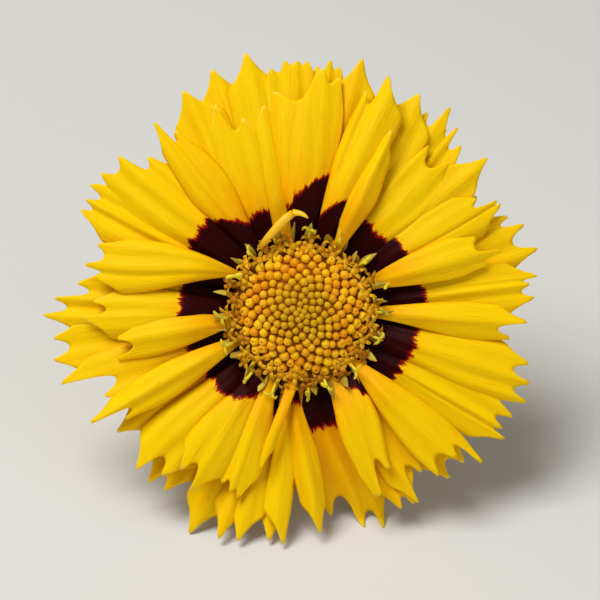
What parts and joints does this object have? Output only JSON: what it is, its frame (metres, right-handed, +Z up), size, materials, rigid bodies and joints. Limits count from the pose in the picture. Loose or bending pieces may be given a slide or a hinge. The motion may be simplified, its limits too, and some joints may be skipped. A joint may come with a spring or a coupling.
{
  "type": "coreopsis flower head",
  "caption": "Cut coreopsis flower head with overlapping toothed yellow rays, maroon ray bases, a domed disc, green bracts and a bent stalk, lying on a surface.",
  "frame": {"origin": "centre of the bounding box's foot, on the surface that the flower lies on", "axes": "+Z up from the surface; +Y back along the stalk; the flower faces -Y and up at 35 degrees; +X to the right of a viewer who faces the flower"},
  "size_m": [0.0608, 0.0846, 0.05],
  "materials": {
    "stalk_green": "satin living plant stalk, finely ribbed",
    "outer_bract_green": "matt green leaf surface",
    "inner_bract_green": "thin yellow-green bract with pale edges",
    "ray_yellow": "soft golden-yellow petal with fine veins and a maroon base",
    "disc_orange": "small closed orange-yellow floret buds with red-brown gaps",
    "open_floret_yellow": "pale lemon-green floret lobes and styles"
  },
  "bodies": {
    "root": {"stem": "stalk_green", "outer_bracts": "outer_bract_green", "inner_bracts": "inner_bract_green", "ray_florets": "ray_yellow", "disc_florets": "disc_orange", "open_florets": "open_floret_yellow"}
  },
  "joints": []
}
